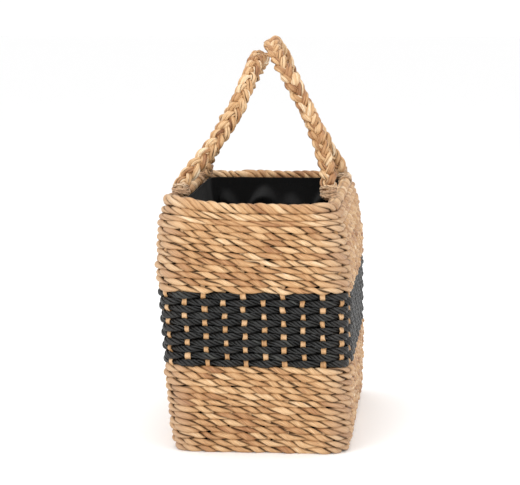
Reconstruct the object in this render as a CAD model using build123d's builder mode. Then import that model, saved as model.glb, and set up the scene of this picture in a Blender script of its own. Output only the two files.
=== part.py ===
"""Woven market basket: plain-woven seagrass body with a dark band, cloth lining and two plaited handles.

Millimetres. The origin is the centre of the base on the surface it stands on. X runs across the
narrow width, Y along the length and Z up. Every row of weaving is a ring of its own.
"""

import os
from math import asin, cos, degrees, pi, radians, sin, sqrt

from build123d import *

# Body, measured over the weave at its widest level
basket_length = 380.0
basket_width = 212.0
corner_radius = 26.0
# Height and how far the side wall stands inside the widest outline there
wall_profile = [(0.0, 12.0), (20.0, 7.0), (90.0, 3.5), (200.0, 0.0), (245.0, 4.5), (275.0, 15.0)]
end_wall_share = 0.6       # the end walls curve in by this share of the side walls' inset
lean_per_height = -0.045   # sideways shift of the hand-made body for each millimetre of height

# Rows of weaving
lower_rows = 13
band_rows = 11
upper_rows = 10
row_pitch = 7.25
row_gap = 0.3
cord_depth = 3.6           # a row's cord, measured through the wall

# Upright stakes
end_stakes = 8             # on each narrow end, between the corner stakes
side_stakes = 17           # on each long side, between the corner stakes
stake_width = 6.0
stake_depth = 1.8
stake_clearance = 1.2      # to the cords that pass it
shoulder = 1.4             # straight run of a cord past each edge of a stake

# Base
base_cords = 23
base_cord_depth = 2.4
base_clearance = 0.3

# Border
border_rows = [("border_flat_row", 6.0), ("border_braid_row", 7.0), ("border_roll", 11.6)]
border_depth = 10.5
roll_round = 4.5

# Lining
lining_wall = 1.2
lining_clearance = 0.5
lining_below_rim = 9.0
hem_height = 20.0
hem_gap = 0.3

# Handles
foot_spacing = 228.0       # between the feet of one handle
foot_inset = 5.5           # from the middle line of the border in to a foot
hinge_above_rim = 13.0
plait_width = 19.2
plait_depth = 12.0
strand_gap = 0.3
saddle_gap = 0.4
saddle_share = 0.84        # how far below the hinge the foot's shoulders end, as a share of the knuckle
crown_spacing = 120.0      # between a handle's legs where they would reach its crown
arch_radius = 70.0
crown_place = {"left": -3.0, "right": 9.0}      # sideways, from the middle of the rim
handle_rise = {"left": 156.0, "right": 167.5}   # of the crown above the hinge, along the handle
tongue_depth = 5.0
tongue_length = 42.0

half_wave = (cord_depth + stake_depth) / 2 + stake_clearance
half_wall = half_wave + cord_depth / 2
half_width = basket_width / 2 - half_wall
half_length = basket_length / 2 - half_wall
turn_radius = corner_radius - half_wall
woven_rows = lower_rows + band_rows + upper_rows
woven_height = woven_rows * row_pitch
rim_height = woven_height + sum(height for _, height in border_rows)
base_thickness = 2 * (base_cord_depth + base_clearance) + stake_depth

os.makedirs("parts", exist_ok=True)


def inset(z):
    """How far the side wall stands inside the widest outline at a height."""
    for (low, low_inset), (high, high_inset) in zip(wall_profile, wall_profile[1:]):
        if z <= high:
            share = (z - low) / (high - low)
            return low_inset + share * (high_inset - low_inset)
    return wall_profile[-1][1]


def lean(z):
    """Sideways place of the body's middle at a height."""
    return lean_per_height * z


def side_reach(z):
    """Distance from the body's middle to the middle of a side wall."""
    return half_width - inset(z)


def end_reach(z):
    """Distance from the body's middle to the middle of an end wall."""
    return half_length - end_wall_share * inset(z)


def outline_place(distance, straight_x, straight_y):
    """Point and outward angle on a quarter of the outline, from an end's middle round to a side's middle."""
    turn = turn_radius * pi / 2
    if distance <= straight_x:
        return distance, -half_length, -90.0
    if distance <= straight_x + turn:
        angle = -90.0 + degrees((distance - straight_x) / turn_radius)
        return (straight_x + turn_radius * cos(radians(angle)),
                -straight_y + turn_radius * sin(radians(angle)), angle)
    return half_width, -straight_y + distance - straight_x - turn, 0.0


def stake_places():
    """Point and outward angle of each stake on the widest outline, anticlockwise from the front left corner."""
    straight_x = half_width - turn_radius
    straight_y = half_length - turn_radius
    end_run = straight_x + turn_radius * pi / 4
    side_run = straight_y + turn_radius * pi / 4
    places = []
    for number in range(end_stakes + 1):
        run = -end_run + 2 * end_run * number / (end_stakes + 1)
        x, y, angle = outline_place(abs(run), straight_x, straight_y)
        places.append((x if run > 0 else -x, y, angle if run > 0 else -180.0 - angle))
    for number in range(side_stakes + 1):
        run = -side_run + 2 * side_run * number / (side_stakes + 1)
        x, y, angle = outline_place(end_run + side_run - abs(run), straight_x, straight_y)
        places.append((x, y if run < 0 else -y, angle if run < 0 else -angle))
    return places + [(-x, -y, angle + 180.0) for x, y, angle in places]


stakes = stake_places()


def at_height(place, z):
    """Where a stake crosses a height."""
    x, y, _ = place
    return Vector(lean(z) + x * side_reach(z) / half_width, y * end_reach(z) / half_length, z)


def outward(place):
    return Vector(cos(radians(place[2])), sin(radians(place[2])), 0)


def woven_ring(number):
    """Outer and inner outlines of one row, which passes outside one stake and inside the next."""
    middle = (number + 0.5) * row_pitch
    half_run = stake_width / 2 + shoulder
    outer, inner = [], []
    for index, place in enumerate(stakes):
        normal = outward(place)
        along = Vector(-normal.Y, normal.X, 0)
        offset = half_wave if (index + number) % 2 == 0 else -half_wave
        centre = at_height(place, middle)
        for side in (-half_run, half_run):
            point = centre + normal * offset + along * side
            outer_point = point + normal * cord_depth / 2
            inner_point = point - normal * cord_depth / 2
            outer.append((outer_point.X, outer_point.Y))
            inner.append((inner_point.X, inner_point.Y))
    return outer, inner


def save(builder, name):
    builder.part.label = name
    export_step(builder.part, f"parts/{name}.step")


# Rows of weaving ------------------------------------------------------------------------------

row_names = [f"lower_row_{number + 1:02d}" for number in range(lower_rows)]
row_names += [f"band_row_{number + 1:02d}" for number in range(band_rows)]
row_names += [f"upper_row_{number + 1:02d}" for number in range(upper_rows)]

for number, name in enumerate(row_names):
    outer_outline, inner_outline = woven_ring(number)
    with BuildPart() as row:
        with BuildSketch(Plane.XY.offset(number * row_pitch + row_gap / 2)):
            Polygon(*outer_outline, align=None)
            Polygon(*inner_outline, align=None, mode=Mode.SUBTRACT)
        extrude(amount=row_pitch - row_gap)
    save(row, name)


# Stakes ---------------------------------------------------------------------------------------

def stake_levels(foot, head):
    """Heights at which a stake bends, with its two ends."""
    return [foot] + [z for z, _ in wall_profile if foot < z < head] + [head]


def stake_plane(place, foot):
    """The upright plane that a stake's bends lie in, with its in-plane directions."""
    x, y, _ = place
    inward = Vector(x / half_width, end_wall_share * y / half_length, 0)
    rise = Vector(lean_per_height, 0, 1)
    return Plane(origin=at_height(place, foot), x_dir=inward, z_dir=inward.cross(rise))


def build_stakes(name, places, foot, head):
    """A group of stakes, each a bent strip as wide as the others along the wall."""
    with BuildPart() as group:
        for place in places:
            plane = stake_plane(place, foot)
            normal = outward(place)
            half_strip = plane.x_dir * (stake_depth / 2 / plane.x_dir.dot(normal))
            levels = stake_levels(foot, head)
            outside = [at_height(place, z) + half_strip for z in levels]
            inside = [at_height(place, z) - half_strip for z in reversed(levels)]
            along = Vector(-normal.Y, normal.X, 0)
            local = [plane.to_local_coords(point) for point in outside + inside]
            with BuildSketch(plane) as strip:
                Polygon(*[(point.X, point.Y) for point in local], align=None)
            extrude(strip.sketch, amount=stake_width / 2, dir=along, both=True)
    save(group, name)


stake_foot = row_gap / 2
stake_head = woven_height - row_gap / 2
first_side = end_stakes + 1
first_back = first_side + side_stakes + 1
first_left = first_back + end_stakes + 1
build_stakes("stakes_front", stakes[1:first_side], stake_foot, stake_head)
build_stakes("stakes_right", stakes[first_side + 1:first_back], stake_foot, stake_head)
build_stakes("stakes_back", stakes[first_back + 1:first_left], stake_foot, stake_head)
build_stakes("stakes_left", stakes[first_left + 1:], stake_foot, stake_head)
corners = [stakes[0], stakes[first_side], stakes[first_back], stakes[first_left]]
build_stakes("stakes_corners", corners, stake_foot, stake_head)


# Base -----------------------------------------------------------------------------------------

base_half_width = side_reach(0) - half_wall - row_gap
base_cord_pitch = 2 * base_half_width / base_cords
base_half_length = end_reach(0) - half_wall - stake_clearance
base_corner = turn_radius
cross_places = [place[1] * end_reach(0) / half_length for place in stakes[first_side + 1:first_back]]


def base_cord_reach(x):
    """Half the length of the base cord at x, which the rounded corners shorten."""
    past = abs(x) + base_cord_pitch / 2 - (base_half_width - base_corner)
    if past <= 0:
        return base_half_length
    return base_half_length - base_corner + sqrt(max(base_corner ** 2 - past ** 2, 0))


def base_cord_line(number, reach):
    """Middle line of a base cord over and under the cross stakes, as (y, z) points."""
    half_run = stake_width / 2 + shoulder
    offset = (base_cord_depth + stake_depth) / 2 + base_clearance
    crossed = [(index, y) for index, y in enumerate(cross_places) if abs(y) + half_run < reach]
    level = {index: offset if (index + number) % 2 == 0 else -offset for index, _ in crossed}
    line = [(-reach, level[crossed[0][0]])]
    for index, y in crossed:
        line += [(y - half_run, level[index]), (y + half_run, level[index])]
    return line + [(reach, level[crossed[-1][0]])]


with BuildPart() as base_weave:
    for number in range(base_cords):
        x = (number - (base_cords - 1) / 2) * base_cord_pitch
        line = base_cord_line(number, base_cord_reach(x))
        top = [(y, z + (base_thickness + base_cord_depth) / 2) for y, z in line]
        bottom = [(y, z + (base_thickness - base_cord_depth) / 2) for y, z in reversed(line)]
        with BuildSketch(Plane.YZ.offset(x)) as cord:
            Polygon(*top, *bottom, align=None)
        extrude(cord.sketch, amount=(base_cord_pitch - row_gap) / 2, both=True)
save(base_weave, "base_weave")

with BuildPart() as base_cross_stakes:
    cross_length = 2 * (side_reach(0) - half_wall - row_gap)
    with Locations(*[(0, y, base_thickness / 2) for y in cross_places]):
        Box(cross_length, stake_width, stake_depth)
save(base_cross_stakes, "base_cross_stakes")


# Border ---------------------------------------------------------------------------------------

def ring_sketch(z, outer_offset, inner_offset):
    """A rounded ring of wall at a height, between two offsets from the wall's middle line."""
    with BuildSketch(Plane.XY.offset(z)) as ring:
        with Locations((lean(z), 0)):
            RectangleRounded(2 * (side_reach(z) + outer_offset), 2 * (end_reach(z) + outer_offset),
                             turn_radius + outer_offset)
            RectangleRounded(2 * (side_reach(z) + inner_offset), 2 * (end_reach(z) + inner_offset),
                             turn_radius + inner_offset, mode=Mode.SUBTRACT)
    return ring.sketch


level = woven_height
for name, height in border_rows:
    with BuildPart() as border:
        sketch = ring_sketch(level + height / 2, border_depth / 2, -border_depth / 2)
        sketch.position -= (0, 0, (height - row_gap) / 2)
        extrude(sketch, amount=height - row_gap, dir=(0, 0, 1))
        if name == "border_roll":
            fillet(border.edges().filter_by(Plane.XY), roll_round)
    save(border, name)
    level += height


# Lining ---------------------------------------------------------------------------------------

foot_offset = side_reach(rim_height) - foot_inset
foot_x = {"left": lean(rim_height) - foot_offset, "right": lean(rim_height) + foot_offset}
tongue_outer = side_reach(rim_height - border_rows[-1][1] / 2) - border_depth / 2 - row_gap
lining_floor = base_thickness + row_gap
lining_top = rim_height - lining_below_rim
lining_foot_x = side_reach(lining_floor) - half_wall - lining_clearance
lining_foot_y = end_reach(lining_floor) - half_wall - lining_clearance
hem_foot_x = tongue_outer - tongue_depth - lining_clearance + lean_per_height * (lining_below_rim + hem_height)
lining_rise = lining_top - lining_floor
lining_head_x = lining_foot_x + (hem_foot_x - lining_foot_x) * lining_rise / (lining_rise - hem_height)
lining_head_y = end_reach(rim_height) - border_depth / 2 - lining_clearance


def bag_sections(offset, foot, head):
    """Lower and upper outlines of the hanging bag, moved out or in by an offset."""
    outlines = []
    for z in (foot, head):
        share = (z - lining_floor) / lining_rise
        reach_x = lining_foot_x + share * (lining_head_x - lining_foot_x) + offset
        reach_y = lining_foot_y + share * (lining_head_y - lining_foot_y) + offset
        with BuildSketch(Plane.XY.offset(z)) as outline:
            with Locations((lean(z), 0)):
                RectangleRounded(2 * reach_x, 2 * reach_y, turn_radius - half_wall + offset)
        outlines.append(outline.sketch)
    return outlines


with BuildPart() as lining_bag:
    loft(bag_sections(-hem_gap - lining_wall, lining_floor, lining_top), ruled=True)
    loft(bag_sections(-hem_gap - 2 * lining_wall, lining_floor + lining_wall, lining_top + 1),
         ruled=True, mode=Mode.SUBTRACT)
save(lining_bag, "lining_bag")

with BuildPart() as lining_hem:
    loft(bag_sections(0, lining_top - hem_height, lining_top), ruled=True)
    loft(bag_sections(-lining_wall, lining_top - hem_height - 1, lining_top + 1),
         ruled=True, mode=Mode.SUBTRACT)
save(lining_hem, "lining_hem")


# Handles --------------------------------------------------------------------------------------

strand_width = (plait_width - 2 * strand_gap) / 3
knuckle_radius = plait_width / 2
hinge_height = rim_height + hinge_above_rim


def handle_plane(side):
    """The leaning plane of one handle's arch, with Y along it and its own up direction."""
    tilt = asin((lean(rim_height) + crown_place[side] - foot_x[side]) / handle_rise[side])
    return Plane(origin=(foot_x[side], 0, hinge_height), x_dir=(0, 1, 0),
                 z_dir=(cos(tilt), 0, -sin(tilt)))


def knuckle_waste(side):
    """What is cut from the ends of a handle's legs so that they are round about the hinge."""
    plane = handle_plane(side)
    with BuildPart(plane) as waste:
        with Locations((-foot_spacing / 2, -knuckle_radius, 0), (foot_spacing / 2, -knuckle_radius, 0)):
            Box(2 * plait_depth, 2 * knuckle_radius, 2 * plait_width)
        with Locations(Location((0, 0, 0), (0, 90, 0))):
            Cylinder(knuckle_radius, foot_spacing + 2 * plait_depth, mode=Mode.SUBTRACT)
    return waste.part


for side in ("left", "right"):
    rise = handle_rise[side]
    half_spacing = foot_spacing / 2
    waste = knuckle_waste(side)
    for number in range(3):
        offset = (number - 1) * (strand_width + strand_gap) - strand_width / 2
        with BuildPart() as strand:
            with BuildSketch(handle_plane(side).offset(offset)):
                with BuildLine():
                    FilletPolyline((-half_spacing, -knuckle_radius), (-crown_spacing / 2, rise),
                                   (crown_spacing / 2, rise), (half_spacing, -knuckle_radius),
                                   radius=arch_radius)
                trace(line_width=plait_depth)
            extrude(amount=strand_width)
            add(waste, mode=Mode.SUBTRACT)
        save(strand, f"{side}_handle_strand_{number + 1}")

    for end, y in (("front", -half_spacing), ("back", half_spacing)):
        foot_top = hinge_height - knuckle_radius * saddle_share
        foot_bottom = rim_height + row_gap / 2
        inward = 1 if side == "left" else -1
        tongue_x = lean(rim_height) - inward * (tongue_outer - tongue_depth / 2)
        with BuildPart() as foot:
            with Locations((foot_x[side], y, (foot_top + foot_bottom) / 2)):
                Box(plait_width, plait_depth, foot_top - foot_bottom)
            with Locations((tongue_x, y, foot_top - tongue_length / 2)):
                Box(tongue_depth, plait_depth, tongue_length)
            with Locations(Location((foot_x[side], y, hinge_height), (90, 0, 0))):
                Cylinder(knuckle_radius + saddle_gap, plait_depth + 2, mode=Mode.SUBTRACT)
        save(foot, f"{side}_handle_{end}_foot")
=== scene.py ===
"""Looks of the woven market basket: twisted seagrass cords, a charcoal band, plaited handles and a black
cotton lining.

Metres, in the frame's own axes: X across the narrow width, Y along the length, Z up.
"""
import math

import bpy
import numpy as np
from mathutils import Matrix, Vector


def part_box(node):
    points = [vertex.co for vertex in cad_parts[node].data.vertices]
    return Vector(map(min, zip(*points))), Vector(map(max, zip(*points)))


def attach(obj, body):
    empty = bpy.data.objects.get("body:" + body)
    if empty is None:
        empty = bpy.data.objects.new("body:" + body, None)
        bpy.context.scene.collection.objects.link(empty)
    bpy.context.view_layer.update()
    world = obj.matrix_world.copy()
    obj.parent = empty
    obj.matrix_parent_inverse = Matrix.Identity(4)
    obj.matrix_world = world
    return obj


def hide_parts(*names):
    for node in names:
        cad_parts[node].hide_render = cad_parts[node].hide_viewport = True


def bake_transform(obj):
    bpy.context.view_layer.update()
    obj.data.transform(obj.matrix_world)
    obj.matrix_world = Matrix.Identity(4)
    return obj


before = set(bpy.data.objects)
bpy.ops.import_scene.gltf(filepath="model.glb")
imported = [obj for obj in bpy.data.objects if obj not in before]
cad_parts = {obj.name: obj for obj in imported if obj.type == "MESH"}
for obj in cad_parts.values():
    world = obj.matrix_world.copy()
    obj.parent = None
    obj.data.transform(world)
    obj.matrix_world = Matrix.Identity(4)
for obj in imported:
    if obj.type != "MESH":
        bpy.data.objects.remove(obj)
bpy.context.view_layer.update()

MM = 0.001
rng = np.random.default_rng(7)

# Weave, as the frame has it. Stakes are counted round the body from the front left corner.
END_STAKES = 8
SIDE_STAKES = 17
STAKES = 2 * (END_STAKES + SIDE_STAKES) + 4
CORNERS = (0, END_STAKES + 1, STAKES // 2, STAKES // 2 + END_STAKES + 1)
TURN_RADIUS = 20.3 * MM
WALL_HALF = 5.7 * MM
BORDER_HALF = 5.25 * MM
LEAN = -0.045               # sideways for each metre up
STEPS_PER_STAKE = 9

# How far the hand-made rim is out of level
RIM_HEIGHT = 271 * MM
BACK_RISE, CORNER_RISE, FRONT_SAG = 4.0 * MM, 5.5 * MM, 3.0 * MM


# Helpers -----------------------------------------------------------------------------------------

def unit(vectors):
    return vectors / np.maximum(np.linalg.norm(vectors, axis=-1, keepdims=True), 1e-12)


def smooth_step(values):
    values = np.clip(values, 0, 1)
    return values * values * (3 - 2 * values)


def smooth_noise(count, knots, closed=True):
    """Gentle random values between about -1 and 1 along a strand."""
    values = rng.uniform(-1, 1, knots)
    place = np.arange(count) / count * (knots if closed else knots - 1)
    low = np.floor(place).astype(int)
    share = smooth_step(place - low)
    return values[low % knots] * (1 - share) + values[(low + 1) % knots] * share


def hand_made(points):
    """Moves points of the level frame to where the hand-made body has them. Its rim stands higher at the
    back and at the front left corner, and sags in the middle of the front. Nothing goes below the floor."""
    points = np.array(points, float)
    x, y, z = points[..., 0], points[..., 1], np.maximum(points[..., 2], 0.0)
    height = np.clip(z / RIM_HEIGHT, 0, 1)
    back = smooth_step((y + 20 * MM) / (200 * MM))
    corner = np.exp(-((x + 110 * MM) ** 2 + (y + 185 * MM) ** 2) / (50 * MM) ** 2)
    sag = np.exp(-(x / (80 * MM)) ** 4) * np.clip((-y - 145 * MM) / (30 * MM), 0, 1)
    points[..., 2] = (z + BACK_RISE * back * height ** 1.5 + CORNER_RISE * corner * height ** 4
                      - FRONT_SAG * sag * height ** 6)
    return points


def put(piece, node):
    """Fixes a piece to the basket in place of its CAD node."""
    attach(piece, "basket")
    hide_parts(node)


# Meshes of many tubes ----------------------------------------------------------------------------

class Tubes:
    """Tubes that together make one piece, with their tone, wear, painted crease shade and a UV map in metres.
    """

    def __init__(self):
        self.points, self.faces, self.uvs, self.tones, self.wears, self.crease_shades = [], [], [], [], [], []
        self.count = 0

    def add(self, rings, tone, wear, closed=False, shift=0.0, crease=None):
        """Adds one tube from rings, (steps, sides, 3). Tone and wear have one value for each step, the painted
        crease shade one for each point; shift moves the grain along."""
        steps, sides, _ = rings.shape
        spans = steps if closed else steps - 1
        if not closed:
            middle = rings.mean(1, keepdims=True)
            # both ends close down nearly to a point
            share = np.ones((steps, 1, 1))
            share[[0, -1]], share[[1, -2]] = 0.02, 0.75
            rings = middle + (rings - middle) * share
        i, j = np.meshgrid(np.arange(spans), np.arange(sides), indexing="ij")
        after, beside = (i + 1) % steps, (j + 1) % sides
        corners = np.stack([i * sides + j, i * sides + beside, after * sides + beside, after * sides + j], -1)
        self.faces.append(corners.reshape(-1, 4) + self.count)
        middle = rings.mean(1)
        run = np.linalg.norm(np.roll(middle, -1, 0) - middle, axis=1)
        along = shift + np.concatenate([[0.0], np.cumsum(run)])[:spans + 1]
        girth = np.linalg.norm(rings[:, 1] - rings[:, 0], axis=1).mean() * sides
        across = np.arange(sides + 1) / sides * girth
        here, beyond, low, high = along[i], along[i + 1], across[j], across[j + 1]
        uv = np.stack([here, low, here, high, beyond, high, beyond, low], -1)
        self.uvs.append(uv.reshape(-1, 2))
        self.points.append(rings.reshape(-1, 3))
        self.tones.append(np.repeat(tone, sides))
        self.wears.append(np.repeat(wear, sides))
        self.crease_shades.append(np.zeros(steps * sides) if crease is None else crease.ravel())
        self.count += steps * sides

    def piece(self, name, material):
        """The finished mesh object."""
        faces = np.concatenate(self.faces)
        mesh = bpy.data.meshes.new(name)
        mesh.vertices.add(self.count)
        mesh.vertices.foreach_set("co", hand_made(np.concatenate(self.points)).astype(np.float32).ravel())
        mesh.loops.add(faces.size)
        mesh.loops.foreach_set("vertex_index", faces.astype(np.int32).ravel())
        mesh.polygons.add(len(faces))
        mesh.polygons.foreach_set("loop_start", np.arange(0, faces.size, 4, dtype=np.int32))
        mesh.update(calc_edges=True)
        mesh.polygons.foreach_set("use_smooth", np.ones(len(faces), bool))
        layer = mesh.uv_layers.new(name="strand")
        layer.data.foreach_set("uv", np.concatenate(self.uvs).astype(np.float32).ravel())
        for label, values in (("tone", self.tones), ("wear", self.wears), ("crease", self.crease_shades)):
            attribute = mesh.attributes.new(label, "FLOAT", "POINT")
            attribute.data.foreach_set("value", np.concatenate(values).astype(np.float32))
        mesh.materials.append(material)
        obj = bpy.data.objects.new(name, mesh)
        bpy.context.scene.collection.objects.link(obj)
        return obj


def leaf_tones(turns, spread=1.0):
    """A new tone each time a ply comes round to the front, changing while it is hidden."""
    index = np.floor(turns + 0.5).astype(int)
    index -= index.min()
    values = 0.5 + (rng.beta(2.2, 2.2, index.max() + 2) - 0.5) * spread
    return values[index]


# The ring that a row follows ---------------------------------------------------------------------

def outline(stake, centre_x, half_x, half_y, radius):
    """Plan points and outward normals at stake numbers, counted from the front left corner."""
    straight_x, straight_y = half_x - radius, half_y - radius
    turn = radius * math.pi / 2
    end_run, side_run = straight_x + turn / 2, straight_y + turn / 2
    half_count = STAKES / 2
    local = np.mod(stake, half_count)
    on_end = local < END_STAKES + 1
    run = np.where(on_end, end_run * (2 * local / (END_STAKES + 1) - 1),
                   side_run * (2 * (local - END_STAKES - 1) / (SIDE_STAKES + 1) - 1))
    distance = np.where(on_end, np.abs(run), end_run + side_run - np.abs(run))
    angle = np.clip((distance - straight_x) / radius, 0, math.pi / 2) - math.pi / 2
    x = np.minimum(distance, straight_x) + radius * np.cos(angle)
    y = -straight_y + radius * np.sin(angle) + np.maximum(distance - straight_x - turn, 0)
    normal_x, normal_y = np.cos(angle), np.sin(angle)
    flip_x = np.where(on_end & (run < 0), -1.0, 1.0)
    flip_y = np.where(~on_end & (run > 0), -1.0, 1.0)
    x, normal_x = x * flip_x, normal_x * flip_x
    y, normal_y = y * flip_y, normal_y * flip_y
    around = np.where(np.mod(stake, STAKES) < half_count, 1.0, -1.0)
    points = np.stack([centre_x + x * around, y * around], -1)
    return points, np.stack([normal_x * around, normal_y * around], -1)


def near_corner(stake):
    """1 at the four corner stakes, falling to 0 about one stake away."""
    distance = np.abs(np.mod(stake, STAKES)[:, None] - (*CORNERS, STAKES)).min(1)
    return np.exp(-(distance / 0.8) ** 2)


class Line:
    """An open path with its own outward and up directions."""

    closed = False

    def __init__(self, points, normal, up, wear=0.0):
        self.points, self.normal, self.up = points, normal, up
        self.count = len(points)
        self.length = np.linalg.norm(np.diff(points, axis=0), axis=1).sum()
        self.wear = np.zeros(self.count) + wear


class Ring:
    """The middle line of a row that goes round the wall, from the box of its CAD node."""

    closed = True

    def __init__(self, node, wall_half, steps=STEPS_PER_STAKE):
        low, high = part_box(node)
        self.count = STAKES * steps
        self.stake = np.arange(self.count) / steps
        plan, normal = outline(self.stake, (low.x + high.x) / 2, (high.x - low.x) / 2 - wall_half,
                               (high.y - low.y) / 2 - wall_half, TURN_RADIUS)
        self.points = np.column_stack([plan, np.full(self.count, (low.z + high.z) / 2)])
        self.normal = np.column_stack([normal, np.zeros(self.count)])
        self.up = np.array([0.0, 0.0, 1.0])
        self.length = np.linalg.norm(np.roll(self.points, -1, 0) - self.points, axis=1).sum()
        self.wear = near_corner(self.stake)


def twist_ring(tubes, ring, plies, lay, out_radius, up_radius, ply_share, ply_flat, offset, sides, hand=-1.0,
               spread=1.0, rough=0.1, swell=0.0, seated=True):
    """Winds plies round the middle line of a Ring or a Line, moved outwards by offset, as a twisted cord.

    Each ply takes ply_share of the cord's radius and ply_flat of its way round. A swell makes the plies fuller
    where they face outwards. Every cord gets painted shade in the crevices between its plies, and a seated
    cord also gets painted shade where it meets its neighbours.
    """
    turns = max(1, round(ring.length / lay)) * np.arange(ring.count) / ring.count * hand
    turns = turns + 0.14 * smooth_noise(ring.count, STAKES) + rng.uniform()
    centre = ring.points + ring.normal * np.reshape(offset, (-1, 1))
    centre = centre + ring.up * (0.45 * MM * smooth_noise(ring.count, 34))[:, None]
    around = np.arange(sides) / sides * 2 * math.pi
    for ply in range(plies):
        turn = turns + ply / plies
        phase = 2 * math.pi * turn
        size = 1 + rough * smooth_noise(ring.count, 90) + swell * np.cos(phase)
        out = np.cos(phase)[:, None] * ring.normal * np.reshape(out_radius, (-1, 1))
        rise = np.sin(phase)[:, None] * ring.up * np.reshape(up_radius, (-1, 1))
        across_out = -np.sin(phase)[:, None] * ring.normal * np.reshape(out_radius, (-1, 1))
        across_up = np.cos(phase)[:, None] * ring.up * np.reshape(up_radius, (-1, 1))
        axis = centre + (out + rise) * (1 - ply_share)
        radial = (out + rise) * ply_share * size[:, None]
        tangent = (across_out + across_up) * ply_flat * size[:, None]
        rings = (axis[:, None] + np.cos(around)[None, :, None] * radial[:, None]
                 + np.sin(around)[None, :, None] * tangent[:, None])
        away = rings - centre[:, None]
        outwards = (away * np.reshape(ring.normal, (-1, 1, 3))).sum(-1) / np.reshape(out_radius, (-1, 1))
        upwards = (away * np.reshape(ring.up, (-1, 1, 3))).sum(-1) / np.reshape(up_radius, (-1, 1))
        # painted shade: 0 on a ply's outer face, rising to 1 in the crevices between plies (and, when seated,
        # where the cord meets the rows above and below)
        crease = np.clip((0.84 - np.hypot(outwards, upwards)) / 0.30, 0, 1)
        if seated:
            crease = np.maximum(crease, np.clip((0.40 - np.abs(outwards)) / 0.40, 0, 1))
        tubes.add(rings, leaf_tones(turn, spread), ring.wear, closed=ring.closed, shift=rng.uniform(0, 3),
                  crease=crease)


# Materials ---------------------------------------------------------------------------------------

def linear(hex_colour):
    """An sRGB hex colour as linear RGBA."""
    parts = [int(hex_colour[i:i + 2], 16) / 255 for i in (1, 3, 5)]
    return [c / 12.92 if c <= 0.04045 else ((c + 0.055) / 1.055) ** 2.4 for c in parts] + [1.0]


def add_node(tree, kind, links=None, **settings):
    """Adds a node, sets its properties and input values, and links its inputs to other nodes' outputs."""
    node = tree.nodes.new(kind)
    for key, value in settings.items():
        if key.startswith("in_"):
            label = key[3:]
            node.inputs[int(label) if label.isdigit() else label.replace("_", " ")].default_value = value
        else:
            setattr(node, key, value)
    for target, source in (links or {}).items():
        tree.links.new(source, node.inputs[target])
    return node


def new_material(name):
    material = bpy.data.materials.new(name)
    material.use_nodes = True
    material.node_tree.nodes.clear()
    return material, material.node_tree


def ramp_stops(node, stops):
    """Sets a colour ramp's stops from (place, hex colour) pairs."""
    ramp = node.color_ramp
    while len(ramp.elements) > 1:
        ramp.elements.remove(ramp.elements[0])
    ramp.elements[0].position = stops[0][0]
    ramp.elements[0].color = linear(stops[0][1])
    for place, colour in stops[1:]:
        ramp.elements.new(place).color = linear(colour)


def strand_noise(tree, uv, scale, detail, roughness=0.5):
    """Noise with its own scale along a strand and across it."""
    stretched = add_node(tree, "ShaderNodeMapping", {"Vector": uv}, in_Scale=(*scale, 1))
    return add_node(tree, "ShaderNodeTexNoise", {"Vector": stretched.outputs[0]}, in_Scale=1.0,
                    in_Detail=detail, in_Roughness=roughness).outputs["Fac"]


def maths(tree, operation, *terms):
    """The result of a maths node; each term is another node's output or a number."""
    node = add_node(tree, "ShaderNodeMath", operation=operation)
    for place, term in enumerate(terms):
        if isinstance(term, float):
            node.inputs[place].default_value = term
        else:
            tree.links.new(term, node.inputs[place])
    return node.outputs[0]


def tinted(tree, share, under, hex_colour):
    """A share of a plain colour laid over another node's output."""
    return add_node(tree, "ShaderNodeMix", {"Factor": share, 6: under}, data_type="RGBA",
                    in_7=linear(hex_colour)).outputs[2]


# the default #4a301a is the painted shade colour in the crevices of natural seagrass
def seagrass(name, stops, worn, roughness, fleck, fleck_colour, bump, crease_shade_colour="#4a301a"):
    """Twisted dry leaf: a tone for each leaf, fine fibres along it, painted shade in the creases and greyer
    worn corners.
    """
    material, tree = new_material(name)
    tone, wear, crease = [add_node(tree, "ShaderNodeAttribute", attribute_name=label).outputs["Fac"]
                          for label in ("tone", "wear", "crease")]
    uv = add_node(tree, "ShaderNodeUVMap", uv_map="strand").outputs["UV"]
    # leaf fibres are about 0.5 mm across and run for tens of millimetres; drawn 0.9 mm wide to show
    fibres = strand_noise(tree, uv, (45, 1100), 3.0, 0.6)
    blotches = strand_noise(tree, uv, (60, 160), 2.0)
    flecks = strand_noise(tree, uv, (130, 700), 2.0)
    blotched = maths(tree, "ADD", tone, maths(tree, "MULTIPLY_ADD", blotches, 0.55, -0.275))
    streaked = maths(tree, "ADD", blotched, maths(tree, "MULTIPLY_ADD", fibres, 1.1, -0.55))
    colour = add_node(tree, "ShaderNodeValToRGB", {"Fac": streaked})
    ramp_stops(colour, stops)
    fleck_mask = add_node(tree, "ShaderNodeMapRange", {"Value": flecks}, in_1=0.60, in_2=0.72, in_3=0.0,
                          in_4=fleck)
    flecked = tinted(tree, fleck_mask.outputs[0], colour.outputs["Color"], fleck_colour)
    rubbed = tinted(tree, maths(tree, "MULTIPLY", wear, fibres), flecked, worn)
    # painted shade: the colour is darkened towards the shade colour in the crevices that the crease attribute
    # marks
    depth = maths(tree, "MULTIPLY", maths(tree, "POWER", crease, 1.9), 0.86)
    shaded = tinted(tree, depth, rubbed, crease_shade_colour)
    relief = add_node(tree, "ShaderNodeBump", {"Height": fibres}, in_Strength=bump, in_Distance=0.7 * MM)
    shader = add_node(tree, "ShaderNodeBsdfPrincipled", {"Base Color": shaded, "Normal": relief.outputs[0]},
                      in_Roughness=roughness, in_IOR=1.45)
    add_node(tree, "ShaderNodeOutputMaterial", {"Surface": shader.outputs[0]})
    return material


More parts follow.
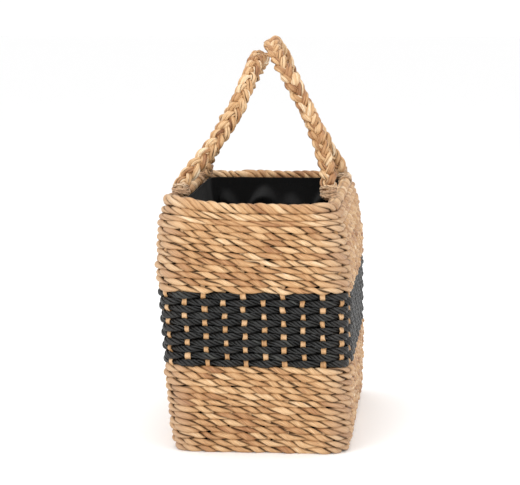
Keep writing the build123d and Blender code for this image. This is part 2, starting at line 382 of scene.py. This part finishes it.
NATURAL_STOPS = [(0.0, "#74492a"), (0.2, "#9f7048"), (0.5, "#c09668"), (0.78, "#d6b48a"), (1.0, "#ead8bc")]
natural_cord = seagrass("natural_seagrass_cord", NATURAL_STOPS, "#b0947a", 0.5, 0.6, "#74472a", 0.9)
plait_grass = seagrass("plaited_seagrass", NATURAL_STOPS, "#c2a58b", 0.48, 0.5, "#6f4428", 0.9)
stake_grass = seagrass("flat_seagrass_stake", [(0.0, "#7d5636"), (0.5, "#b78c5e"), (1.0, "#d4b088")],
                       "#c0997a", 0.55, 0.45, "#74472a", 0.8)
# its last colour, #030303, is painted shade in the crevices of the dyed cord
dyed_cord = seagrass("charcoal_dyed_cord", [(0.0, "#040404"), (0.5, "#0b0b0a"), (0.85, "#181816"),
                                            (1.0, "#3c3d39")],
                     "#211d1a", 0.36, 0.4, "#2a1c12", 0.7, crease_shade_colour="#030303")


def cotton():
    """Plain-woven black cotton: matt, with a fine thread relief and the faint sheen of brushed cloth."""
    material, tree = new_material("black_cotton_lining")
    place = add_node(tree, "ShaderNodeTexCoord").outputs["Object"]
    # threads are 0.35 mm apart; drawn wider so that they show
    threads = add_node(tree, "ShaderNodeTexWave", {"Vector": place}, in_Scale=1250 / 6.283,
                       bands_direction="Z", in_Distortion=0.6)
    slubs, clouds = [add_node(tree, "ShaderNodeTexNoise", {"Vector": place}, in_Scale=scale, in_Detail=detail)
                     for scale, detail in ((900.0, 3.0), (45.0, 4.0))]
    cloth = maths(tree, "ADD", threads.outputs["Fac"], slubs.outputs["Fac"])
    colour = add_node(tree, "ShaderNodeValToRGB", {"Fac": clouds.outputs["Fac"]})
    ramp_stops(colour, [(0.3, "#030303"), (0.7, "#060606")])
    relief = add_node(tree, "ShaderNodeBump", {"Height": cloth}, in_Strength=0.35, in_Distance=0.2 * MM)
    shader = add_node(tree, "ShaderNodeBsdfPrincipled",
                      {"Base Color": colour.outputs["Color"], "Normal": relief.outputs[0]},
                      in_Roughness=0.85, in_IOR=1.46, in_Specular_IOR_Level=0.2, in_Sheen_Weight=0.03,
                      in_Sheen_Roughness=0.5)
    add_node(tree, "ShaderNodeOutputMaterial", {"Surface": shader.outputs[0]})
    return material


lining_cloth = cotton()


# Woven wall ----------------------------------------------------------------------------------------

def wall_rows():
    """The nodes of the woven rows, from the lowest up."""
    rows = sorted(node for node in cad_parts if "_row_" in node and node[-2:].isdigit())
    return sorted(rows, key=lambda node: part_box(node)[0].z)


def natural_row(node, number):
    """Two-ply seagrass cord that wraps the stakes; its leaves show a little under one stake long."""
    ring = Ring(node, WALL_HALF)
    wave = np.cos(math.pi * (ring.stake + number))
    if node == "upper_row_01":
        # the first natural row dips into the notches between the dyed floats below it
        ring.points[:, 2] -= 1.5 * MM * np.clip(wave, 0, 1) ** 2
    tubes = Tubes()
    twist_ring(tubes, ring, plies=2, lay=34 * MM, out_radius=4.9 * MM, up_radius=4.1 * MM, ply_share=0.53,
               ply_flat=0.70, offset=1.1 * MM * wave + 0.6 * MM * smooth_noise(ring.count, 30), sides=12,
               spread=0.62, rough=0.24, swell=0.16)
    put(tubes.piece(node + "_cord", natural_cord), node)


def dyed_row(node, number):
    """Fine-stranded dyed cord that passes outside one stake and inside the next."""
    ring = Ring(node, WALL_HALF)
    wave = np.cos(math.pi * (ring.stake + number))
    tubes = Tubes()
    twist_ring(tubes, ring, plies=4, lay=25 * MM, out_radius=3.1 * MM, up_radius=(3.95 + 0.4 * wave) * MM,
               ply_share=0.38, ply_flat=0.46, offset=2.75 * MM * (1.12 * wave - 0.12 * wave ** 3),
               sides=7, rough=0.22, seated=False)
    put(tubes.piece(node + "_cord", dyed_cord), node)


for number, node in enumerate(wall_rows()):
    if node.startswith("band"):
        dyed_row(node, number)
    else:
        natural_row(node, number)


# Border ------------------------------------------------------------------------------------------

# Stake numbers at which the border is drawn down a little
TIGHT_PLACES = np.array([0, 10.8, 14.4, 25.2, 43.2])


def border_row(node, plies, lay, out_radius, up_radius, ply_share, ply_flat, lift, rough):
    """A twisted or folded row of the border, standing a little higher at the corners, the front left most."""
    ring = Ring(node, BORDER_HALF)
    away = np.abs(ring.stake[:, None] - TIGHT_PLACES)
    tight = np.exp(-(np.minimum(away, STAKES - away) / 1.28) ** 2).sum(1)
    front_left = np.exp(-(np.minimum(ring.stake, STAKES - ring.stake) / 1.5) ** 2)
    ring.points[:, 2] += lift * (0.5 * near_corner(ring.stake) + 0.8 * front_left
                                 - 0.12 * np.clip(tight, 0, 1))
    tubes = Tubes()
    twist_ring(tubes, ring, plies, lay, out_radius, up_radius, ply_share, ply_flat,
               offset=0.5 * MM * smooth_noise(ring.count, 20), sides=10, rough=rough, spread=0.7)
    put(tubes.piece(node + "_leaf", natural_cord), node)


border_row("border_flat_row", 3, 46 * MM, 5.4 * MM, 3.5 * MM, 0.48, 0.64, 0.3 * MM, 0.18)
border_row("border_braid_row", 3, 38 * MM, 5.8 * MM, 4.4 * MM, 0.46, 0.60, 0.6 * MM, 0.24)
border_row("border_roll", 3, 36 * MM, 6.1 * MM, 6.3 * MM, 0.46, 0.60, 1.2 * MM, 0.26)


# Stakes --------------------------------------------------------------------------------------------

def stake_tube(tubes, places, normal, dyed, number):
    """One flat stake up the wall, pushed in and out by the cords that pass it."""
    wave = np.cos(math.pi * (number + np.arange(len(places))))
    push = np.where(dyed, -1.7 * wave, -1.1) * MM
    points = places[:, number] + normal[number] * push[:, None]
    past_end = np.array([0, 0, 3.2 * MM])
    points = np.vstack([points[0] - past_end, points, points[-1] + past_end])
    fine = np.linspace(0, len(points) - 1, 5 * len(points))
    low = np.minimum(np.floor(fine).astype(int), len(points) - 2)
    share = smooth_step(fine - low)[:, None]
    path = points[low] * (1 - share) + points[low + 1] * share
    path[:, 2] = points[low, 2] + (points[low + 1, 2] - points[low, 2]) * (fine - low)
    side = np.array([-normal[number, 1], normal[number, 0], 0.0])
    around = np.arange(12) / 12 * 2 * math.pi
    width = 2.75 * MM * (1 + 0.20 * smooth_noise(len(path), 34, False))
    path = path + side * (0.9 * MM * smooth_noise(len(path), 34, False))[:, None]
    thick = 1.35 * MM * (1 + 0.12 * smooth_noise(len(path), 24))
    flat = np.sign(np.cos(around)) * np.abs(np.cos(around)) ** 0.6
    rings = (path[:, None] + flat[None, :, None] * side * width[:, None, None]
             + np.sin(around)[None, :, None] * normal[number] * thick[:, None, None])
    tone = np.clip(0.62 + 0.22 * smooth_noise(len(path), 30), 0, 1)
    tubes.add(rings, tone, np.zeros(len(path)), shift=rng.uniform(0, 3))


def stakes():
    """All the stakes of the wall, in five pieces as in the CAD."""
    rows = wall_rows()
    rings = [Ring(node, WALL_HALF, steps=1) for node in rows]
    places = np.stack([ring.points for ring in rings])
    dyed = np.array([node.startswith("band") for node in rows])
    _, front_right, back_right, back_left = CORNERS
    groups = {"stakes_front": range(1, front_right), "stakes_right": range(front_right + 1, back_right),
              "stakes_back": range(back_right + 1, back_left), "stakes_left": range(back_left + 1, STAKES),
              "stakes_corners": CORNERS}
    for node, numbers in groups.items():
        tubes = Tubes()
        for number in numbers:
            stake_tube(tubes, places, rings[0].normal, dyed, number)
        put(tubes.piece(node + "_strips", stake_grass), node)


stakes()


# Base ----------------------------------------------------------------------------------------------

BASE_CORDS = 23


def base():
    """Cords along the basket, woven over and under the flat cross stakes."""
    low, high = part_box("base_weave")
    cross_low, cross_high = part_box("base_cross_stakes")
    crossings = SIDE_STAKES
    pitch = (high.x - low.x) / BASE_CORDS
    spacing = (cross_high.y - cross_low.y - 6 * MM) / (crossings - 1)
    middle = (low.z + high.z) / 2
    weave = Tubes()
    for number in range(BASE_CORDS):
        x = low.x + (number + 0.5) * pitch
        past = max(abs(x) + pitch / 2 - (high.x - TURN_RADIUS), 0)
        reach = high.y - TURN_RADIUS + math.sqrt(max(TURN_RADIUS ** 2 - past ** 2, 0)) - 1 * MM
        y = np.arange(-reach, reach, 2.2 * MM)
        wave = np.cos(math.pi * (y / spacing + number + crossings // 2))
        points = np.column_stack([np.full(len(y), x) + 0.4 * MM * smooth_noise(len(y), 12), y,
                                  middle + 1.55 * MM * wave])
        line = Line(points, np.array([0.0, 0.0, 1.0]), np.array([1.0, 0.0, 0.0]))
        twist_ring(weave, line, plies=2, lay=44 * MM, out_radius=1.75 * MM, up_radius=3.9 * MM, ply_share=0.6,
                   ply_flat=0.8, offset=0.0, sides=8)
    cross = Tubes()
    around = np.arange(10) / 10 * 2 * math.pi
    for number in range(crossings):
        y = (number - (crossings - 1) / 2) * spacing
        x = np.arange(cross_low.x, cross_high.x, pitch / 3)
        wave = np.cos(math.pi * ((x - low.x) / pitch - 0.5 + number))
        path = np.column_stack([x, np.full(len(x), y), middle - 0.5 * MM * wave])
        rings = (path[:, None] + np.cos(around)[None, :, None] * np.array([0, 3 * MM, 0])
                 + np.sin(around)[None, :, None] * np.array([0, 0, 0.95 * MM]))
        cross.add(rings, np.full(len(x), 0.5 + rng.uniform(-0.2, 0.2)), np.zeros(len(x)))
    put(weave.piece("base_weave_leaf", natural_cord), "base_weave")
    put(cross.piece("base_cross_stakes_leaf", stake_grass), "base_cross_stakes")


base()


# Lining --------------------------------------------------------------------------------------------

LINING_TOP, LINING_FLOOR = 263.5 * MM, 7.9 * MM
BAG_RADIUS = 13 * MM
BAG_HALF_LOW, BAG_HALF_HIGH = np.array([82.4, 170.4]) * MM, np.array([81.4, 168.9]) * MM
HEM_OUT, HEM_DEPTH = 1.45 * MM, 19.5 * MM
# Folds of the slack cloth: place along the wall, width, top below the hem, depth and, at the back, slant, mm
BACK_FOLDS = ((-68, 13, 22, 24, 0.7), (-29, 16, 15, 36, -0.3), (12, 14, 25, 26, 0.5), (46, 18, 16, 30, -0.9))
SIDE_FOLDS = ((100, 22, 30, 22), (40, 26, 38, 24), (-30, 24, 34, 20), (-95, 22, 44, 18))


def slack(plan, drop):
    """How far the loose cloth hangs in from the wall, with soft folds that gather below the hem."""
    x, y, drop = plan[..., 0] / MM, plan[..., 1] / MM, drop / MM
    inward = smooth_step(drop / 60) * (5.0 + 2.2 * np.sin(x / 15.0 + 1.2) + 2.5 * np.sin(y / 24.0)
                                       + 1.4 * np.sin(y / 9.5 + drop / 40))
    back = smooth_step((y - 150) / 12)
    for place, width, top, size, slant in BACK_FOLDS:
        off = x - place
        below = drop - (top + 0.045 * off ** 2 + slant * off)
        ridge = smooth_step(below / 13 + 0.5) * (0.7 + 0.3 * np.exp(-((below - 5) / 9) ** 2))
        inward = inward + back * size * np.exp(-(off / width) ** 2) * ridge
    for place, width, top, size in SIDE_FOLDS:
        off = y - place
        below = drop - (top + 0.02 * off ** 2)
        inward = inward + (1 - back) * size * np.exp(-(off / width) ** 2) * smooth_step(below / 16 + 0.5)
    return inward * MM * smooth_step((260 - drop) / 60)


def cloth_mesh(name, grid, floor):
    """A mesh from a closed grid of (rows, around, 3), with a floor fan where asked."""
    rows, around, _ = grid.shape
    grid = hand_made(grid)
    verts = [tuple(point) for point in grid.reshape(-1, 3)]
    faces = [(i * around + j, i * around + (j + 1) % around, (i + 1) * around + (j + 1) % around,
              (i + 1) * around + j) for i in range(rows - 1) for j in range(around)]
    if floor:
        verts.append(tuple(grid[-1].mean(0)))
        last = (rows - 1) * around
        faces += [(last + j, last + (j + 1) % around, len(verts) - 1) for j in range(around)]
    mesh = bpy.data.meshes.new(name)
    mesh.from_pydata(verts, [], faces)
    mesh.update()
    obj = bpy.data.objects.new(name, mesh)
    bpy.context.scene.collection.objects.link(obj)
    mesh.materials.append(lining_cloth)
    for polygon in mesh.polygons:
        polygon.use_smooth = True
    thick = obj.modifiers.new("cloth", "SOLIDIFY")
    thick.thickness = 0.9 * MM
    thick.offset = 0
    bpy.ops.object.select_all(action="DESELECT")
    obj.select_set(True)
    bpy.context.view_layer.objects.active = obj
    bpy.ops.object.modifier_apply(modifier="cloth")
    return obj


def bag_outline(z, stake, out=0.0):
    """Plan and normal of the bag's wall at a height, moved outwards by a distance."""
    share = (z - LINING_FLOOR) / (LINING_TOP - LINING_FLOOR)
    half_x, half_y = BAG_HALF_LOW + share * (BAG_HALF_HIGH - BAG_HALF_LOW) + out
    return outline(stake, LEAN * z, half_x, half_y, BAG_RADIUS)


def lining():
    """The bag with its loose floor, and the hem that is stitched round its top."""
    stake = np.linspace(0, STAKES, 420, endpoint=False)
    stitches = np.sin(stake * 9.0)
    rows = []
    for z in np.concatenate([np.linspace(LINING_TOP, 205 * MM, 44),
                             np.linspace(200 * MM, LINING_FLOOR + 6 * MM, 34)]):
        plan, normal = bag_outline(z, stake)
        pucker = 0.5 * MM * stitches * math.exp(-(LINING_TOP - z) / (8 * MM))
        plan = plan - normal * (slack(plan, LINING_TOP - z) + pucker)[:, None]
        rows.append(np.column_stack([plan, np.full(len(stake), z)]))
    lowest = rows[-1]
    for share in (0.97, 0.9, 0.75, 0.55, 0.3, 0.12):
        flat = lowest * [share, share, 0]
        flat[:, 2] = LINING_FLOOR + 1.5 * MM + 1.2 * MM * np.sin(stake * 0.9 + 9 * share) * (share < 0.95)
        rows.append(flat)
    bag = cloth_mesh("lining_bag_cloth", np.stack(rows), True)
    hem_rows = []
    for z in np.linspace(LINING_TOP - 0.6 * MM, LINING_TOP - HEM_DEPTH, 9):
        plan, normal = bag_outline(z, stake, HEM_OUT)
        hem_rows.append(np.column_stack([plan - normal * (0.25 * MM * stitches)[:, None],
                                         np.full(len(stake), z)]))
    hem = cloth_mesh("lining_hem_cloth", np.stack(hem_rows), False)
    put(bag, "lining_bag")
    put(hem, "lining_hem")


lining()


# Handles -------------------------------------------------------------------------------------------

HINGE_Z = 284.1 * MM
# The angle that each handle leans by, how far it rises, and how far it bows sideways on the way
HANDLES = {"left": (30.07, 156 * MM, 6.0 * MM), "right": (-25.52, 167.5 * MM, 3.0 * MM)}
CROWN_HALF, ARCH_RADIUS = 60 * MM, 70 * MM
KNUCKLE_RADIUS = 9.6 * MM
PLAIT_START = -19 * MM
PLAIT_PERIOD = 37 * MM
# How far each strand of a plait swings to the sides and from front to back
STRAND_SPREAD, STRAND_DEPTH = 5.6 * MM, 2.9 * MM


def arch(rise, start, half_foot):
    """A handle in its own plane, (across, up) from the front foot over the crown to the back foot, and the
    distance along it."""
    tilt = math.atan2(half_foot - CROWN_HALF, rise + KNUCKLE_RADIUS)
    turn = math.pi / 2 - tilt
    cut = ARCH_RADIUS * math.tan(turn / 2)
    legs = np.linspace(0, 1, 90)[:, None]
    foot = np.array([-half_foot, start])
    bend = np.array([-CROWN_HALF - cut * math.sin(tilt), rise - cut * math.cos(tilt)])
    centre = np.array([-CROWN_HALF + cut, rise - ARCH_RADIUS])
    angles = np.linspace(math.pi - tilt, math.pi / 2, 60)[1:, None]
    curve = centre + ARCH_RADIUS * np.hstack([np.cos(angles), np.sin(angles)])
    half = np.vstack([foot + (bend - foot) * legs, curve])
    whole = np.vstack([half, half[::-1] * [-1, 1]])
    run = np.concatenate([[0], np.cumsum(np.linalg.norm(np.diff(whole, axis=0), axis=1))])
    even = np.arange(0, run[-1], 1.4 * MM)
    return np.column_stack([np.interp(even, run, whole[:, 0]), np.interp(even, run, whole[:, 1])]), even


def handle_path(side):
    """Points, tangents, across and depth directions of one handle's plait."""
    lean_angle, rise, bow = HANDLES[side]
    low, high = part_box(side + "_handle_front_foot")
    foot_x, half_foot = (low.x + high.x) / 2, -(low.y + high.y) / 2
    plan, run = arch(rise, PLAIT_START, half_foot)
    up = plan[:, 1]
    tilt = math.radians(lean_angle)
    leaning = 0.5 * (up + np.sqrt(up ** 2 + (9 * MM) ** 2)) - 2 * MM
    middle = np.sin(math.pi * np.clip(up / rise, 0, 1))
    x = foot_x + math.sin(tilt) * leaning + bow * middle - 0.09 * plan[:, 0] * middle
    z = HINGE_Z + up * math.cos(tilt)
    x = x + 0.8 * MM * smooth_noise(len(x), 14, False)
    points = np.column_stack([x, plan[:, 0], z])
    tangent = unit(np.gradient(points, axis=0))
    across = np.array([math.cos(tilt), 0.0, -math.sin(tilt)])
    across = unit(across - tangent * (tangent @ across)[:, None])
    return points, tangent, across, np.cross(tangent, across), run


def plait(side):
    """The three strands of a handle, which bend from the basket to the handle's body at the hinge."""
    points, tangent, across, depth, run = handle_path(side)
    hand = 1.0 if side == "left" else -1.0
    ends = np.minimum(run, run[-1] - run)
    width = 0.72 + 0.28 * smooth_step(ends / (22 * MM))
    phase = 2 * math.pi * run / PLAIT_PERIOD + 0.25 * smooth_noise(len(run), 20, False)
    for strand in range(3):
        turn = hand * phase + 2 * math.pi * strand / 3
        sideways = STRAND_SPREAD * width * np.sin(turn)
        deep = STRAND_DEPTH * np.sin(2 * turn)
        middle = points + across * sideways[:, None] + depth * deep[:, None]
        middle = middle + 0.5 * MM * np.column_stack([smooth_noise(len(run), 60, False) for _ in range(3)])
        along = unit(np.gradient(middle, axis=0))
        wide = unit(across - along * (along * across).sum(1)[:, None])
        line = Line(middle, wide, np.cross(along, wide), 0.5 * np.exp(-(ends / (16 * MM)) ** 2))
        tubes = Tubes()
        size = 1 + 0.10 * smooth_noise(len(run), 24, False)
        twist_ring(tubes, line, plies=4, lay=84 * MM, out_radius=4.1 * MM * size, up_radius=3.4 * MM * size,
                   ply_share=0.42, ply_flat=0.52, offset=0.0, sides=9, hand=-hand, rough=0.34, seated=False)
        piece = tubes.piece(f"{side}_handle_plait_{strand + 1}", plait_grass)
        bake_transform(piece)
        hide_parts(f"{side}_handle_strand_{strand + 1}")


def frayed_leaf(tubes, points, normal, up, lay, out_radius, up_radius):
    """One loose, ragged leaf of a wrap."""
    twist_ring(tubes, Line(points, normal, up, wear=0.95), plies=3, lay=lay, out_radius=out_radius,
               up_radius=up_radius, ply_share=0.42, ply_flat=0.5, offset=0.0, sides=6, rough=0.4,
               seated=False)


def foot_wrap(side, end):
    """Frayed leaf ends of a handle, wound over the border roll and tucked in behind it."""
    node = f"{side}_handle_{end}_foot"
    low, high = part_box(node)
    roll_low, roll_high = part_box("border_roll")
    sign = -1.0 if side == "left" else 1.0
    foot_x, foot_y = (low.x + high.x) / 2, (low.y + high.y) / 2
    roll_x = (roll_low.x if side == "left" else roll_high.x) - sign * BORDER_HALF
    roll_z = (roll_low.z + roll_high.z) / 2
    tubes = Tubes()
    around = np.linspace(0, 2 * math.pi, 40)
    none = np.zeros(len(around))
    for turn in range(11):                                      # round the border roll
        y = foot_y + (turn - 5) * 2.3 * MM + rng.uniform(-1.5, 1.5) * MM
        skew = rng.uniform(-8, 8) * MM
        wide, tall = (6.2 + rng.uniform(-0.3, 0.9)) * MM, (6.3 + rng.uniform(-0.3, 0.9)) * MM
        points = np.column_stack([roll_x + wide * np.cos(around), y + skew * np.sin(around / 2 + turn),
                                  roll_z + tall * np.sin(around)])
        frayed_leaf(tubes, points, np.column_stack([np.cos(around), none, np.sin(around)]),
                    np.array([0.0, 1.0, 0.0]), 36 * MM, 1.1 * MM, 2.0 * MM)
    for turn in range(5):                                       # round the plait, above the roll
        height = roll_high.z + (1.5 + 2.0 * turn) * MM
        tip = rng.uniform(-2.2, 2.2, 2) * MM
        wide, deep = (8.6 + rng.uniform(-0.6, 0.8)) * MM, (6.6 + rng.uniform(-0.5, 0.8)) * MM
        points = np.column_stack([foot_x + wide * np.cos(around), foot_y + deep * np.sin(around),
                                  height + tip[0] * np.cos(around) + tip[1] * np.sin(around)])
        frayed_leaf(tubes, points, np.column_stack([np.cos(around), np.sin(around), none]),
                    np.array([0.0, 0.0, 1.0]), 40 * MM, 1.2 * MM, 1.9 * MM)
    for tail in range(3):                                       # down inside the wall
        z = np.linspace(roll_high.z + 1 * MM, low.z + (2 + 5 * tail) * MM, 26)
        x = np.full(len(z), roll_x - sign * (BORDER_HALF + 0.2 * MM))
        points = np.column_stack([x, np.full(len(z), foot_y + (tail - 1) * 3.6 * MM), z])
        line = Line(points, np.array([1.0, 0.0, 0.0]), np.array([0.0, 1.0, 0.0]), 0.4)
        twist_ring(tubes, line, plies=2, lay=40 * MM, out_radius=1.6 * MM, up_radius=1.9 * MM, ply_share=0.6,
                   ply_flat=0.7, offset=0.0, sides=6)
    put(tubes.piece(node + "_ends", plait_grass), node)


for side in ("left", "right"):
    plait(side)
    for end in ("front", "back"):
        foot_wrap(side, end)


# Stray fibres ------------------------------------------------------------------------------------------

def stray_fibres():
    """Short dry hairs that stand off the border, the corners and the weave."""
    roll = Ring("border_roll", BORDER_HALF)
    rows = [Ring(n, WALL_HALF) for n in sorted(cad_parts) if n.startswith(("upper_row", "lower_row"))]
    tubes = Tubes()
    around = np.arange(3) / 3 * 2 * math.pi
    for number in range(260):
        ring, reach = (roll, 5.4) if number < 110 else (rows[rng.integers(len(rows))], 5.0)
        if number % 3 == 0:
            place = int(rng.choice(CORNERS) * STEPS_PER_STAKE + rng.normal(0, 8)) % ring.count
        else:
            place = int(rng.integers(ring.count))
        normal = ring.normal[place]
        side = np.array([-normal[1], normal[0], 0.0])
        start = ring.points[place] + normal * reach * MM * rng.uniform(0.6, 1.0)
        if ring is roll:
            start = start + np.array([0, 0, 4.5 * MM * rng.uniform(0.3, 1)])
        way = unit(normal * rng.uniform(0.2, 1) + side * rng.normal(0, 1.0)
                   + np.array([0, 0, rng.normal(0.1, 0.7)]))
        curl = unit(rng.normal(0, 1, 3))
        length = rng.uniform(2.5, 7.0) * MM
        share = np.linspace(0, 1, 6)[:, None]
        path = start + way * length * share + curl * length * 0.35 * share ** 2
        cross = unit(np.cross(way, [0.3, 0.5, 0.8]))
        section = np.cos(around)[:, None] * cross + np.sin(around)[:, None] * np.cross(way, cross)
        rings = path[:, None] + section * (0.16 * MM * (1.1 - share))[:, None]
        tubes.add(rings, np.full(6, 0.95), np.full(6, 0.3))
    piece = tubes.piece("stray_fibres", natural_cord)
    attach(piece, "basket")


stray_fibres()


# Camera, light and floor ----------------------------------------------------------------------------

# Name, place, size and power of each lamp
LAMPS = (("key", (-1.1, -1.9, 2.3), 1.4, 25), ("front", (0.0, -2.6, 0.2), 1.2, 22),
         ("fill", (1.9, -1.2, 1.3), 1.6, 5), ("top", (0.1, 0.3, 2.6), 1.8, 20))


def stage():
    """A white floor and world, with soft lamps aimed at the middle of the body."""
    bpy.ops.mesh.primitive_plane_add(size=80, location=(0, 0, 0))
    floor = bpy.context.object
    floor.name = "floor"
    material, tree = new_material("pale_floor")
    shader = add_node(tree, "ShaderNodeBsdfPrincipled", in_Roughness=0.9, in_Base_Color=linear("#fbfbfb"))
    add_node(tree, "ShaderNodeOutputMaterial", {"Surface": shader.outputs[0]})
    floor.data.materials.append(material)
    world = bpy.data.worlds.new("studio")
    world.use_nodes = True
    background = world.node_tree.nodes["Background"]
    background.inputs["Color"].default_value = (1, 1, 1, 1)
    background.inputs["Strength"].default_value = 1.03
    bpy.context.scene.world = world
    bpy.context.scene.view_settings.view_transform = "Standard"
    for name, place, size, power in LAMPS:
        light = bpy.data.lights.new(name, "AREA")
        light.size = size
        light.energy = power
        lamp = bpy.data.objects.new(name, light)
        lamp.location = place
        aim = Vector((0, 0, 0.18)) - lamp.location
        lamp.rotation_euler = aim.to_track_quat("-Z", "Y").to_euler()
        bpy.context.scene.collection.objects.link(lamp)


def camera():
    """A long lens from the front, slightly from the right and above."""
    lens = bpy.data.cameras.new("camera")
    lens.lens = 132.7
    lens.clip_end = 50
    view = bpy.data.objects.new("camera", lens)
    yaw, pitch = math.radians(5.18), math.radians(-6.77)
    view.location = (0.182, -2.190, 0.467)
    ahead = Vector((-math.sin(yaw) * math.cos(pitch), math.cos(yaw) * math.cos(pitch), math.sin(pitch)))
    view.rotation_euler = ahead.to_track_quat("-Z", "Y").to_euler()
    bpy.context.scene.collection.objects.link(view)
    bpy.context.scene.camera = view


stage()
camera()
